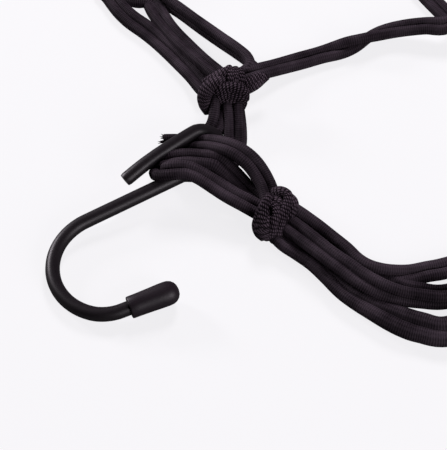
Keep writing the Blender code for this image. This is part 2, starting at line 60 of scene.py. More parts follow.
CREASE = math.radians(60)
STRAND_SIDES = 14
STEPS_BETWEEN_ROWS = 16

Rows = Sequence[Sequence[float]]


class Slot(Enum):
    """The record's material slots."""

    CORD = "elastic_cord"
    WIRE = "coated_wire"
    TIP = "rubber_tip"


class Kind(IntEnum):
    """Which of its piece's finishes a grid takes: the first, or the second."""

    PLAIN = 0
    DRAWN_TIGHT = 1


# ---------------------------------------------------------------- shapes


def smooth_curve(rows: Rows, spacing: float) -> np.ndarray:
    """Even points on a smooth curve through table rows.

    Between rows q and r, with neighbours p and s, the curve is the cubic that passes through q and r
    with slopes (r - p) / 2 and (s - q) / 2. Every column is carried, also those past x, y and z.

    Args:
        rows: Table rows, x, y and z first.
        spacing: Distance between the points, in millimetres.

    Returns:
        The points, one row each, with as many columns as the table.
    """
    table = np.asarray(rows, dtype=float)
    padded = np.vstack([2 * table[0] - table[1], table, 2 * table[-1] - table[-2]])
    p, q, r, s = (padded[k : len(padded) - 3 + k, None] for k in range(4))
    t = np.linspace(0.0, 1.0, STEPS_BETWEEN_ROWS, endpoint=False)[None, :, None]
    cubic = q + 0.5 * (
        (r - p) * t + (2 * p - 5 * q + 4 * r - s) * t**2 + (3 * q - p - 3 * r + s) * t**3
    )
    fine = np.vstack([cubic.reshape(-1, table.shape[1]), table[-1:]])
    along = length_along(fine)
    count = max(3, round(along[-1] / spacing) + 1)
    even = np.linspace(0.0, along[-1], count)
    return np.column_stack([np.interp(even, along, column) for column in fine.T])


def length_along(points: np.ndarray) -> np.ndarray:
    """Distance along a path at each of its points, from the first three columns."""
    steps = np.linalg.norm(np.diff(points[:, :3], axis=0), axis=1)
    return np.concatenate([[0.0], np.cumsum(steps)])


def unit(vectors: np.ndarray) -> np.ndarray:
    """Vectors of length one along the last axis."""
    return vectors / np.linalg.norm(vectors, axis=-1, keepdims=True)


def heading(angle: float) -> np.ndarray:
    """The level direction at an angle in radians."""
    return np.array([math.cos(angle), math.sin(angle)])


def level_frames(path: np.ndarray) -> tuple[np.ndarray, np.ndarray]:
    """Directions across a path: the level one, tangent x up, and the one square to both.

    Args:
        path: Points, one row each.

    Returns:
        The level side directions and the directions that point most nearly up.
    """
    tangents = unit(np.gradient(path[:, :3], axis=0))
    sides = unit(np.cross(tangents, UPRIGHT) + SIDE_WHERE_UPRIGHT)
    return sides, np.cross(sides, tangents)


@dataclass
class Surface:
    """Vertices, faces and cord coordinates gathered from grids, in millimetres."""

    points: list[np.ndarray] = field(default_factory=list)
    quads: list[np.ndarray] = field(default_factory=list)
    kinds: list[np.ndarray] = field(default_factory=list)
    caps: list[list[int]] = field(default_factory=list)
    uvs: list[np.ndarray] = field(default_factory=list)
    count: int = 0
    kind: Kind = Kind.PLAIN

    def add_grid(self, rings: np.ndarray, around: np.ndarray, along: np.ndarray) -> None:
        """Adds a tube given as a grid (ring, side, xyz), with a flat face over each end.

        The seam's side is repeated in the coordinates alone, so that they run on round the tube.

        Args:
            rings: Points on the grid of along and around.
            around: Coordinate round the tube at each side and once more at the seam.
            along: Coordinate along the tube at each ring.
        """
        n, m = rings.shape[:2]
        i, j = np.meshgrid(np.arange(n - 1), np.arange(m), indexing="ij")
        k = (j + 1) % m
        quads = np.stack([i * m + j, i * m + k, (i + 1) * m + k, (i + 1) * m + j], axis=-1).reshape(-1, 4)
        square = ((0, 0), (1, 0), (1, 1), (0, 1))
        corners = np.stack([np.stack([around[j + a], along[i + b]], axis=-1) for a, b in square], axis=-2)
        self.points.append(rings.reshape(-1, 3))
        self.quads.append(quads + self.count)
        self.kinds.append(np.full(len(quads), self.kind))
        self.uvs.append(corners.reshape(-1, 2))
        first = (np.arange(m)[::-1] + self.count).tolist()
        last = (np.arange(m) + (n - 1) * m + self.count).tolist()
        self.caps += [first, last]
        self.count += n * m

    def add_tube(self, path: np.ndarray, radius: np.ndarray, sides: int, phase: float = 0.0) -> None:
        """Adds a round tube: centre + radius (sin t up - cos t side), t once round, at each point.

        Args:
            path: Centre points.
            radius: Radius at each point.
            sides: Points round the tube.
            phase: Added to the coordinate along the tube, so that neighbours' ribs don't line up.
        """
        side, up = level_frames(path)
        turn = np.linspace(0.0, 2 * math.pi, sides, endpoint=False)[None, :, None]
        reach = radius[:, None, None]
        rings = path[:, None, :3] + reach * (np.sin(turn) * up[:, None] - np.cos(turn) * side[:, None])
        around = np.linspace(0.0, 2 * math.pi * radius.mean(), sides + 1)
        self.add_grid(rings, around, length_along(path) + phase)

    def make(
        self, name: str, shape_slot: Slot, finishes: Sequence[bpy.types.Material], node: str
    ) -> bpy.types.Object:
        """The gathered surface as one smooth piece that rides on the net.

        Args:
            name: The piece's name.
            shape_slot: Not used.
            finishes: Its materials, by the kind that a grid was added with.
            node: The solid that it stands for.

        Returns:
            The piece.
        """
        mesh = bpy.data.meshes.new(name)
        faces = np.vstack(self.quads).tolist() + self.caps
        mesh.from_pydata((np.vstack(self.points) * MM).tolist(), [], faces)
        layer = mesh.uv_layers.new(name="cord")
        flat = np.zeros((len(mesh.loops), 2))
        laid = np.vstack(self.uvs)
        flat[: len(laid)] = laid
        layer.data.foreach_set("uv", flat.ravel())
        mesh.shade_smooth()
        mesh.set_sharp_from_angle(angle=CREASE)
        for finish in finishes:
            mesh.materials.append(finish)
        kinds = np.zeros(len(mesh.polygons), dtype=np.int32)
        laid_kinds = np.concatenate(self.kinds)
        kinds[: len(laid_kinds)] = laid_kinds
        mesh.polygons.foreach_set("material_index", kinds)
        piece = bpy.data.objects.new(name, mesh)
        bpy.context.scene.collection.objects.link(piece)
        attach(piece, BODY)
        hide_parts(node)
        return piece


# ---------------------------------------------------------------- shading


class Value:
    """A shader number; arithmetic on it adds Math nodes."""

    def __init__(self, shades: "Shades", socket: bpy.types.NodeSocket) -> None:
        """Wraps one socket of a material's node tree."""
        self.shades = shades
        self.socket = socket

    def math(self, operation: str, *others: "Value | float") -> "Value":
        """The value of a Math node fed by this value and the others, in order."""
        return self.shades.math(operation, self, *others)

    def __add__(self, other: "Value | float") -> "Value":
        """Sum."""
        return self.math("ADD", other)

    __radd__ = __add__

    def __sub__(self, other: "Value | float") -> "Value":
        """Difference."""
        return self.math("SUBTRACT", other)

    def __rsub__(self, other: float) -> "Value":
        """Difference from a number."""
        return self.shades.math("SUBTRACT", other, self)

    def __mul__(self, other: "Value | float") -> "Value":
        """Product."""
        return self.math("MULTIPLY", other)

    __rmul__ = __mul__

    def sine(self) -> "Value":
        """Sine of the value in radians."""
        return self.math("SINE")

    def absolute(self) -> "Value":
        """The value without its sign."""
        return self.math("ABSOLUTE")

    def smooth(self, low: float, high: float) -> "Value":
        """0 up to low, 1 from high, and a smooth step between."""
        found = self.shades.node(
            "ShaderNodeMapRange",
            {"interpolation_type": "SMOOTHSTEP", "clamp": True},
            {"Value": self, "From Min": low, "From Max": high},
        )
        return Value(self.shades, found.outputs["Result"])


class Shades:
    """The nodes of one material, and its principled shader."""

    def __init__(self, name: str, colour: Sequence[float], roughness: float) -> None:
        """Starts a material.

        Args:
            name: The material's name.
            colour: Base colour, linear.
            roughness: Base roughness.
        """
        self.material = bpy.data.materials.new(name)
        self.material.use_nodes = True
        self.tree = self.material.node_tree
        self.shader = self.tree.nodes["Principled BSDF"]
        self.shader.inputs["Base Color"].default_value = (*colour, 1.0)
        self.shader.inputs["Roughness"].default_value = roughness
        self.material.diffuse_color = (*colour, 1.0)

    def set(self, name: str, value: object) -> None:
        """Puts a constant or a link on one of the shader's sockets."""
        self.feed(self.shader.inputs[name], value)

    def feed(self, socket: bpy.types.NodeSocket, value: object) -> None:
        """Puts a constant, a Value or an output socket on an input socket."""
        if isinstance(value, Value):
            value = value.socket
        if isinstance(value, bpy.types.NodeSocket):
            self.tree.links.new(value, socket)
        else:
            socket.default_value = value

    def node(self, kind: str, settings: dict[str, object], inputs: dict[object, object]) -> bpy.types.Node:
        """Adds a node, sets its settings, then feeds its inputs.

        Args:
            kind: The node's type.
            settings: Attributes set first, such as a Math node's operation.
            inputs: Values or links by socket name or index.

        Returns:
            The node.
        """
        made = self.tree.nodes.new(kind)
        for key, value in settings.items():
            setattr(made, key, value)
        for key, value in inputs.items():
            self.feed(made.inputs[key], value)
        return made

    def math(self, operation: str, *values: "Value | float") -> Value:
        """The value of a Math node."""
        made = self.node("ShaderNodeMath", {"operation": operation}, dict(enumerate(values)))
        return Value(self, made.outputs[0])

    def noise(self, scale: float, detail: float) -> Value:
        """Fractal noise of Object coordinates, about 0 to 1."""
        place = self.node("ShaderNodeTexCoord", {}, {}).outputs["Object"]
        made = self.node("ShaderNodeTexNoise", {}, {"Vector": place, "Scale": scale, "Detail": detail})
        return Value(self, made.outputs["Fac"])

    def mix(self, factor: object, low: Sequence[float], high: Sequence[float]) -> bpy.types.NodeSocket:
        """A colour between two, by a value."""
        made = self.node(
            "ShaderNodeMix",
            {"data_type": "RGBA"},
            {"Factor": factor, 6: (*low, 1.0), 7: (*high, 1.0)},
        )
        return made.outputs[2]

    def cord_place(self) -> tuple[Value, Value]:
        """Coordinates round and along the cord, in millimetres, from its UV map."""
        place = self.node("ShaderNodeUVMap", {"uv_map": "cord"}, {})
        parts = self.node("ShaderNodeSeparateXYZ", {}, {0: place.outputs[0]})
        return Value(self, parts.outputs[0]), Value(self, parts.outputs[1])

    def bump(self, height: Value, distance: float, strength: float = 1.0) -> None:
        """Feeds the shader's normal from a height in units of the distance."""
        made = self.node(
            "ShaderNodeBump", {}, {"Height": height, "Distance": distance, "Strength": strength}
        )
        self.set("Normal", made.outputs[0])


@dataclass(frozen=True)
class SleeveFinish:
    """Black woven sleeve of an elastic cord: fine ribs across it and faint lines along it.

    Pitches are in millimetres, depths in metres. Crossed ribs are those of a sleeve drawn tight in a knot.
    """

    name: str = "woven_sleeve"
    # The base colour runs from shade, the painted shade in the hollows between ribs and lines, to lit, the
    # painted highlight on their tops; soft random patches move it too.
    shade: tuple[float, float, float] = (0.0016, 0.0008, 0.0016)
    lit: tuple[float, float, float] = (0.0462, 0.0358, 0.0450)
    rib_pitch: float = 0.62
    rib_depth: float = 0.00012
    rib_painted_shade: float = 0.38
    rib_drift: float = 0.35
    line_pitch: float = 1.18
    line_share: float = 0.25
    patch_tone: float = 1.15
    darkening: float = 0.14
    roughness: float = 0.72
    roughest: float = 0.80
    crossed: bool = False

    def material(self) -> bpy.types.Material:
        """Rib height is |sin(pi v / pitch)|, broken up by lines sin(2 pi u / pitch) and noise.

        The tone between shade and lit follows the ribs, as painted shade in their hollows and a painted
        highlight on their tops, and soft random patches.
        """
        shades = Shades(self.name, self.shade, self.roughness)
        around, along = shades.cord_place()
        drift = (shades.noise(420.0, 2.0) - 0.5) * self.rib_drift
        rib = ((along + drift) * (math.pi / self.rib_pitch)).sine().absolute()
        if self.crossed:
            slant = ((around * 1.3 + along * 0.8) * (math.pi / self.rib_pitch)).sine().absolute()
            height = rib * slant
        else:
            line = (around * (2 * math.pi / self.line_pitch)).sine() * 0.5 + 0.5
            height = rib * (1 - self.line_share) + line * self.line_share
        shades.bump(height, self.rib_depth)
        patch = shades.noise(95.0, 3.0)
        # Painted light in the base colour: rib and line tops lighter, their hollows darker.
        tone = height * self.rib_painted_shade + patch * self.patch_tone - self.darkening - self.rib_painted_shade * 0.55
        tone = tone.smooth(0.0, 1.0)
        shades.set("Base Color", shades.mix(tone, self.shade, self.lit))
        shades.set("Roughness", self.roughest - tone * 0.20)
        shades.set("Specular IOR Level", 0.06)
        return shades.material


@dataclass(frozen=True)
class CoatFinish:
    """Satin black plastic coating on the wire, smooth with a slight orange peel."""

    name: str = "satin_coating"
    colour: tuple[float, float, float] = (0.0070, 0.0056, 0.0068)
    lighter: float = 1.5
    roughness: float = 0.45
    unevenness: float = 0.14

    def material(self) -> bpy.types.Material:
        """Roughness and height wander a little with soft noise."""
        shades = Shades(self.name, self.colour, self.roughness)
        broad = shades.noise(140.0, 2.0)
        fine = shades.noise(900.0, 2.0)
        shades.set("Roughness", broad * self.unevenness + (self.roughness - self.unevenness / 2))
        shades.bump(broad * 0.7 + fine * 0.3, 0.00005, 0.3)
        shades.set("Specular IOR Level", 0.30)
        shades.set("Base Color", shades.mix(fine, self.colour, tuple(self.lighter * c for c in self.colour)))
        return shades.material


@dataclass(frozen=True)
class RubberFinish:
    """Dull black moulded rubber with a fine grain."""

    name: str = "moulded_rubber"
    colour: tuple[float, float, float] = (0.0088, 0.0062, 0.0085)
    lighter: float = 1.6
    roughness: float = 0.48
    unevenness: float = 0.16

    def material(self) -> bpy.types.Material:
        """Fine noise grain in height, a broad one in roughness and tone."""
        shades = Shades(self.name, self.colour, self.roughness)
        grain = shades.noise(1500.0, 2.0)
        broad = shades.noise(160.0, 2.0)
        shades.bump(grain, 0.00004, 0.6)
        shades.set("Specular IOR Level", 0.30)
        shades.set("Roughness", broad * self.unevenness + (self.roughness - self.unevenness / 2))
        shades.set("Base Color", shades.mix(broad, self.colour, tuple(self.lighter * c for c in self.colour)))
        return shades.material


@dataclass(frozen=True)
class FloorFinish:
    """Plain pale floor."""

    name: str = "pale_floor"
    colour: tuple[float, float, float] = (0.095, 0.098, 0.096)
    glow: tuple[float, float, float] = (0.985, 0.975, 1.0)
    glow_strength: float = 0.835
    returned: float = 0.045

    def material(self) -> bpy.types.Material:
        """A back-lit pale tone, so that shadows on it stay faint, with the slightest cloudiness."""
        shades = Shades(self.name, self.colour, 0.9)
        cloud = shades.noise(3.0, 2.0)
        shades.set("Base Color", shades.mix(cloud, self.colour, tuple(0.99 * c for c in self.colour)))
        shades.set("Specular IOR Level", 0.0)
        seen = shades.node("ShaderNodeLightPath", {}, {}).outputs["Is Camera Ray"]
        dim = tuple(self.returned * c for c in self.glow)
        shades.set("Emission Color", shades.mix(seen, dim, self.glow))
        shades.set("Emission Strength", self.glow_strength)
        return shades.material


# ---------------------------------------------------------------- the net's own sizes


@dataclass(frozen=True)
class Lattice:
    """Where the side knots and the crossings of the slack net lie."""

    cells: int = 4
    pitch: float = 78.0
    bow_front: float = 17.0
    bow_right: float = 9.0
    bow_back: float = 13.0
    bow_left: float = 5.0
    knot_pull: float = 11.0
    centring: tuple[float, float] = (-157.5, -154.5)
    slack: tuple[tuple[int, int, float, float], ...] = (
        # column, row, x, y
        (1, 1, -6.3, 5.8), (2, 1, 3.0, 2.0), (3, 1, -1.0, -4.0), (1, 2, 2.5, 3.0), (2, 2, -3.0, -2.0),
        (3, 2, 2.0, 4.0), (1, 3, -1.5, -3.0), (2, 3, 2.0, 3.5), (3, 3, -3.0, -1.0),
    )

    def even(self, column: int, row: int) -> np.ndarray:
        """Even place of a lattice point between bowed sides: each side bows by 4 u (1 - u)."""
        u, v = column / self.cells, row / self.cells
        across, upward = 4 * u * (1 - u), 4 * v * (1 - v)
        side = self.cells * self.pitch
        x = side * u - self.bow_left * (1 - u) * upward + self.bow_right * u * upward
        y = side * v - self.bow_front * (1 - v) * across + self.bow_back * v * across
        return np.array([x, y]) + self.centring

    def crossing(self, column: int, row: int) -> np.ndarray:
        """Place of a crossing of two inner cords."""
        for at_column, at_row, x, y in self.slack:
            if (at_column, at_row) == (column, row):
                return self.even(column, row) + (x, y)
        raise ValueError(f"no crossing at {column}, {row}")


@dataclass(frozen=True)
class Stop:
    """One side knot of the edge, walked with the net on the left."""

    column: int
    row: int
    quarter_turns: int | None
    corner_next: bool = False
    hook: int = 0

    @property
    def key(self) -> str:
        """The two digits that the solids' names use."""
        return f"{self.column}{self.row}"


EDGE = (
    Stop(0, 1, 0, True, 1),
    Stop(1, 0, None),
    Stop(2, 0, None),
    Stop(3, 0, 1, True, 2),
    Stop(4, 1, 2, False, 3),
    Stop(4, 2, None),
    Stop(4, 3, 2, True, 4),
    Stop(3, 4, None),
    Stop(2, 4, None),
    Stop(1, 4, 3, True, 5),
    Stop(0, 3, 0, False, 6),
    Stop(0, 2, None),
)


def turn_matrix(quarter_turns: int) -> np.ndarray:
    """The turn about the upright by quarter turns."""
    angle = quarter_turns * math.pi / 2
    c, s = math.cos(angle), math.sin(angle)
    return np.array([[c, -s, 0.0], [s, c, 0.0], [0.0, 0.0, 1.0]])


def turned(rows: Rows, place: np.ndarray, quarter_turns: int) -> np.ndarray:
    """Station rows turned by quarter turns and moved to a knot; columns past y are kept."""
    table = np.array(rows, dtype=float)
    table[:, :2] = table[:, :2] @ turn_matrix(quarter_turns)[:2, :2].T + place
    return table


def stretched(rows: np.ndarray, nominal: np.ndarray, real: np.ndarray, fixed: float) -> np.ndarray:
    """Moves the far part of a route, past its fixed share, so that it ends where it has to.

    Args:
        rows: The route.
        nominal: Where it ends, x and y.
        real: Where it has to end.
        fixed: Share of its length that stays where it is.

    Returns:
        The route moved by s s (3 - 2 s) of the difference, s from 0 to 1 over the rest.
    """
    table = rows.copy()
    steps = np.linalg.norm(np.diff(table[:, :2], axis=0), axis=1)
    share = np.concatenate([[0.0], np.cumsum(steps)]) / steps.sum()
    ramp = np.clip((share - fixed) / (1 - fixed), 0.0, 1.0)
    ramp = ramp**2 * (3 - 2 * ramp)
    table[:, :2] += ramp[:, None] * (np.asarray(real) - np.asarray(nominal))
    return table


# ---------------------------------------------------------------- cords


@dataclass(frozen=True)
class DoubledCord:
    """Two round elastic strands that run side by side."""

    strand_radius: float = 1.64
    spread: float = 1.43
    spacing: float = 1.2
    threads: int = 14
    thread_radius: float = 0.42

    def strands(self, rows: Rows, seed: float = 0.0) -> list[np.ndarray]:
        """The middle lines of the two strands.

        Each lies at route +- spread (cos a side + sin a up), where a is the table's roll column. The
        spread wanders along the cord by the sum of two sines, 0.10 and 0.06 high.

        Args:
            rows: x, y, z and roll in degrees; 0 lies flat and 90 stands one strand on the other.
            seed: Shifts the wander, so that no two cords are alike.

        Returns:
            Two paths, with the cord's size as a fourth column.
        """
        route = smooth_curve(rows, self.spacing)
        side, up = level_frames(route)
        roll = np.radians(route[:, 3])[:, None]
        across = np.cos(roll) * side + np.sin(roll) * up
        size = self.sizes(route)[:, None]
        along = length_along(route)
        wander = 0.10 * np.sin(along / 7.3 + 2.1 * seed) + 0.06 * np.sin(along / 3.1 + 5.0 * seed)
        apart = (self.spread + wander)[:, None] * size
        paths = [np.hstack([route[:, :3] + sign * apart * across, size]) for sign in (-1.0, 1.0)]
        for path in paths:
            path[:, 2] = np.maximum(path[:, 2], self.strand_radius * path[:, 3])
        return paths

    def sizes(self, route: np.ndarray) -> np.ndarray:
        """How far the cord has swelled at each point: the table's fifth column, or 1."""
        return route[:, 4] if route.shape[1] > 4 else np.ones(len(route))

    def lay(self, surface: Surface, rows: Rows, seed: float = 0.0) -> None:
        """Adds both strands of one doubled cord to a surface."""
        self.sleeve_over(surface, self.strands(rows, seed), seed)

    def lay_one(self, surface: Surface, rows: Rows, seed: float = 0.0) -> None:
        """Adds a single strand along a route to a surface."""
        path = smooth_curve(rows, self.spacing)[:, :3]
        self.sleeve_over(surface, [np.column_stack([path, np.ones(len(path))])], seed)

    def fray(self, surface: Surface, rows: Rows) -> None:
        """Adds loose threads at a single strand's cut end, which is the first of its rows.

        Thread k of n leaves the end at turn 2.4 k about the strand and sqrt(k / n) of the way out from its
        middle, leans out by the square of its length and thins to nothing.
        """
        path = smooth_curve(rows, self.spacing)[:, :3]
        outward = unit(path[0] - path[1])
        side = unit(np.cross(outward, UPRIGHT))
        up = np.cross(side, outward)
        reach = np.linspace(0.0, 1.0, 6)[:, None]
        for k in range(self.threads):
            turn = 2.4 * k
            lean = math.cos(turn) * side + math.sin(turn) * up
            from_middle = 0.85 * self.strand_radius * math.sqrt((k + 0.5) / self.threads)
            start = path[0] - 0.8 * outward + from_middle * lean
            length = 1.7 + 0.9 * math.sin(5.1 * k)
            bow = 0.35 + 0.3 * math.sin(3.3 * k)
            thread = start + length * reach * outward + bow * reach**2 * lean
            thread[:, 2] = np.maximum(thread[:, 2], 0.3)
            surface.add_tube(thread, self.thread_radius * (1.1 - reach[:, 0]), 6, 1.7 * k)

    def sleeve_over(self, surface: Surface, paths: list[np.ndarray], seed: float) -> None:
        """Adds strands along middle lines, each with a swell of its own by a fiftieth either way."""
        for number, path in enumerate(paths):
            along = length_along(path)
            swell = 1.0 + 0.02 * np.sin(along / 4.7 + 3.0 * seed + number)
            phase = 13.7 * seed + 5.3 * number
            surface.add_tube(path, self.strand_radius * path[:, 3] * swell, STRAND_SIDES, phase)


# Three doubled cords of a bight, from the side knot, under and round the eye, to the binding knot.
# Columns: x, y, z, roll.
BIGHT = {
    "upper": (
        (2.4, 1.4, 4.2, 0), (0.8, -2.5, 5.6, 0), (-0.9, -5.7, 5.8, 0), (-2.1, -8.1, 5.0, 0),
        (-3.4, -10.5, 3.8, 0), (-4.9, -13.0, 2.8, 0), (-6.6, -15.7, 2.2, 0), (-9.3, -17.7, 2.0, 0),
        (-12.7, -17.8, 1.9, 0), (-16.1, -16.2, 1.9, 0), (-18.6, -13.8, 2.2, 0), (-20.8, -11.4, 3.2, 0),
        (-22.3, -10.5, 4.8, 0), (-21.2, -11.0, 5.8, 0), (-18.6, -12.8, 7.2, 5), (-16.3, -15.7, 9.2, 5),
        (-14.2, -19.1, 10.8, 5), (-12.3, -22.5, 11.6, 5), (-10.6, -25.9, 11.4, 5), (-9.4, -29.4, 10.4, 5),
        (-8.9, -33.1, 8.8, 0), (-9.1, -36.8, 7.4, 0), (-10.1, -40.4, 6.6, 0),
    ),
    "middle": (
        (1.0, 2.5, 4.0, 40), (-2.5, -1.4, 5.6, 40), (-4.6, -4.3, 5.0, 30), (-6.5, -6.8, 3.8, 20),
        (-9.4, -8.7, 2.6, 10), (-15.0, -9.5, 2.0, 0), (-19.6, -10.4, 1.9, 0), (-24.1, -10.6, 2.0, 0),
        (-27.5, -11.4, 3.4, 0), (-28.9, -12.8, 5.4, 0), (-28.8, -14.4, 7.6, 0), (-26.3, -15.8, 8.8, 0),
        (-23.3, -17.8, 9.4, 0), (-20.3, -20.4, 9.8, 0), (-17.5, -23.0, 9.8, 0), (-16.0, -25.2, 8.4, 0),
        (-14.8, -27.3, 6.6, 0), (-14.0, -29.8, 5.4, 0), (-13.5, -32.9, 5.0, 0), (-12.8, -37.0, 5.0, 0),
        (-11.8, -41.2, 5.0, 0),
    ),
    "lower": (
        (3.0, 2.8, 2.4, 0), (1.3, -2.0, 3.8, 0), (-0.4, -5.9, 3.4, 0), (-2.0, -9.3, 2.4, 0),
        (-3.7, -12.5, 1.9, 0), (-5.8, -15.8, 1.8, 0), (-8.4, -18.5, 1.8, 0), (-11.7, -20.5, 1.8, 0),
        (-16.1, -20.5, 1.8, 0), (-20.2, -19.0, 1.8, 0), (-24.0, -16.6, 1.8, 0), (-28.2, -15.2, 2.4, 0),
        (-30.7, -15.5, 4.6, 0), (-31.8, -16.9, 7.6, 0), (-30.5, -19.0, 9.8, 0), (-28.2, -20.6, 10.4, 0),
        (-26.0, -22.3, 10.6, 0), (-23.8, -25.1, 9.8, 5), (-21.6, -29.0, 8.6, 5), (-19.4, -33.4, 7.6, 5),
        (-17.1, -37.4, 6.8, 5), (-14.9, -40.8, 5.8, 0), (-13.1, -43.6, 5.0, 0),
    ),
}

# The cut end of one of them, a single strand that comes out beside the tail of the wire.
BIGHT_TAIL = (
    (-22.8, -3.5, 2.0), (-21.4, -4.5, 2.2), (-19.6, -5.9, 2.4), (-17.6, -8.2, 2.6), (-16.0, -11.1, 2.6),
    (-14.6, -14.4, 2.4),
)

# The same cords from the binding knot round a corner, to the first side knot past it.
# Columns: x, y, z, roll and, for the lower one, how far it has swelled.
CORNER = {
    "upper": (
        (-8.8, -41.1, 4.6, -40), (-8.0, -44.9, 5.8, -60), (-6.7, -47.5, 5.6, -75),
        (-5.2, -49.8, 4.6, -80), (-3.5, -53.8, 3.7, -80), (-2.1, -58.7, 3.3, -80),
        (-0.8, -64.2, 3.3, -80), (-0.2, -69.0, 3.3, -80), (1.4, -72.9, 3.1, -70), (4.6, -76.4, 2.7, -45),
        (9.5, -79.0, 2.0, -15), (15.0, -80.8, 1.8, 0), (20.1, -82.6, 1.8, 0), (34.0, -86.5, 1.8, 0),
        (54.0, -93.0, 1.7, 0), (68.0, -98.5, 3.0, 0), (76.0, -102.5, 4.6, 0),
    ),
    "middle": (
        (-11.5, -43.3, 4.4, -10), (-10.9, -48.3, 5.8, -15), (-9.6, -54.3, 6.6, -20),
        (-8.4, -59.9, 7.0, -20), (-7.1, -65.2, 7.0, -20), (-5.5, -70.2, 6.8, -20),
        (-3.6, -75.5, 6.2, -25), (-0.5, -80.6, 5.2, -45), (2.9, -84.2, 4.2, -70), (7.2, -87.6, 3.6, -80),
        (13.2, -91.6, 3.3, -80), (24.0, -94.9, 3.2, -80), (36.0, -96.6, 2.6, -45), (52.0, -97.5, 1.7, 0),
        (67.0, -101.5, 2.8, 0), (76.0, -104.0, 4.0, 0),
    ),
    "lower": (
        (-13.9, -46.0, 3.2, 20, 1.0), (-13.6, -52.6, 3.0, 28, 1.0), (-11.9, -57.5, 2.7, 30, 1.0),
        (-10.2, -62.4, 2.5, 28, 1.02), (-9.1, -68.1, 2.5, 24, 1.06), (-8.2, -74.0, 2.5, 20, 1.1),
        (-6.6, -78.9, 2.5, 16, 1.16), (-4.5, -83.4, 2.5, 12, 1.24), (-2.5, -87.4, 2.6, 8, 1.32),
        (-0.3, -91.2, 2.7, 0, 1.38), (2.2, -94.5, 2.7, -8, 1.42), (7.5, -99.4, 2.7, -12, 1.44),
        (20.0, -102.3, 2.6, -8, 1.4), (34.0, -104.5, 2.0, 0, 1.2), (54.0, -106.5, 1.7, 0, 1.0),
        (68.0, -106.5, 2.6, 0, 1.0), (76.0, -105.0, 3.6, 0, 1.0),
    ),
}

# The tail of one of them, a single strand tied in alongside.
CORNER_TAIL = (
    (-8.8, -45.8, 3.0), (-5.6, -56.1, 1.8), (-2.4, -66.2, 1.7), (0.3, -70.4, 1.7), (3.1, -74.1, 1.7),
    (5.3, -77.5, 1.7), (7.2, -80.9, 1.7), (10.0, -83.9, 1.7), (15.9, -88.2, 1.7), (30.0, -91.5, 1.7),
    (50.0, -95.5, 1.7), (66.0, -100.5, 2.6), (76.0, -103.6, 4.0),
)
CORNER_END = (76.5, -103.8)
CORNER_FIXED = 0.45

# The stretch that runs into the first side knot: one doubled cord stands off from the others.
LONG_GAP = {
    "outer": (
        (0.5, 70.5, 4.0, 0), (-2.0, 64.0, 2.4, 0), (-7.6, 58.7, 1.7, 0), (-8.0, 53.5, 1.7, 0),
        (-8.1, 47.7, 1.7, 0), (-7.4, 42.1, 1.7, 0), (-5.8, 35.8, 1.9, -8), (-4.6, 29.1, 2.0, -14),
        (-3.5, 21.0, 2.1, -16), (-2.9, 13.2, 2.3, -12), (-3.1, 7.0, 2.8, 0), (-3.0, 3.4, 3.2, 20),
    ),
    "centre": (
        (0.5, 70.5, 4.6, 0), (3.0, 62.0, 2.8, 0), (4.1, 51.4, 1.7, 0), (2.2, 46.4, 1.9, 0),
        (0.8, 41.0, 2.3, 0), (0.0, 35.3, 2.8, 0), (-0.2, 29.0, 3.4, 6), (0.3, 21.8, 3.8, 12),
        (1.0, 14.5, 4.5, 20), (1.7, 8.4, 5.2, 20), (2.2, 4.0, 5.4, 10),
    ),
    "inner": (
        (0.5, 70.5, 3.4, 90), (3.0, 62.0, 3.1, 90), (3.5, 49.2, 3.1, 90), (4.9, 41.9, 3.1, 90),
        (6.7, 35.4, 3.1, 90), (8.5, 27.7, 3.2, 90), (10.6, 19.5, 3.4, 90), (12.4, 12.8, 3.6, 85),
        (13.2, 7.4, 4.0, 75), (12.3, 3.8, 4.2, 45), (8.2, 2.9, 3.6, 20), (3.2, 1.2, 4.2, 0),
    ),
}
LONG_GAP_START = (0.5, 73.0)
LONG_GAP_FIXED = 0.72

# A single strand that bridges the first two of them.
LONG_GAP_TAIL = (
    (-6.9, 57.3, 1.7), (-5.8, 53.1, 1.7), (-4.5, 49.7, 1.8), (-2.6, 46.8, 2.0), (-0.4, 45.0, 2.4),
    (0.8, 42.2, 2.0), (0.7, 37.8, 1.7),
)

# Plain stretches of the edge: sideways place of each doubled cord, and its roll at mid-length.
PLAIN = (
    # at_knot, at_middle, widest, roll
    (-2.6, -5.2, 0.42, 0),
    (0.0, 0.6, 0.50, 15),
    (1.6, 6.8, 0.60, 70),
)
PLAIN_HEIGHTS = (4.0, 2.2, 1.7, 1.7, 1.7, 2.2, 4.0)

# First stretch of the lowest inner row, from the first side knot to the first crossing.
FIRST_INNER = (
    (0.8, 0.6, 4.4, 0), (5.9, 3.0, 4.0, 0), (9.6, 2.2, 4.8, 0), (14.2, 1.8, 4.2, 0), (19.4, 1.5, 3.0, 0),
    (27.1, 0.6, 2.0, 0), (34.2, -0.7, 1.8, 0), (39.9, -2.3, 2.4, -35), (45.3, -3.4, 3.0, -90),
    (50.4, -3.5, 3.0, -135), (55.3, -4.4, 3.2, -165), (60.3, -6.7, 4.0, -180), (65.3, -9.9, 5.0, -180),
    (70.8, -13.6, 5.6, -180),
)


# ---------------------------------------------------------------- knots

# The passes of a knot are given from its middle on slanted axes, because they show from one slanted
# side: across the slant, up it and out of it. A last column is the strand's radius.
SLANT = np.array([(0.848, -0.530, 0.0), (0.434, 0.695, 0.5736), (-0.304, -0.4864, 0.8192)])

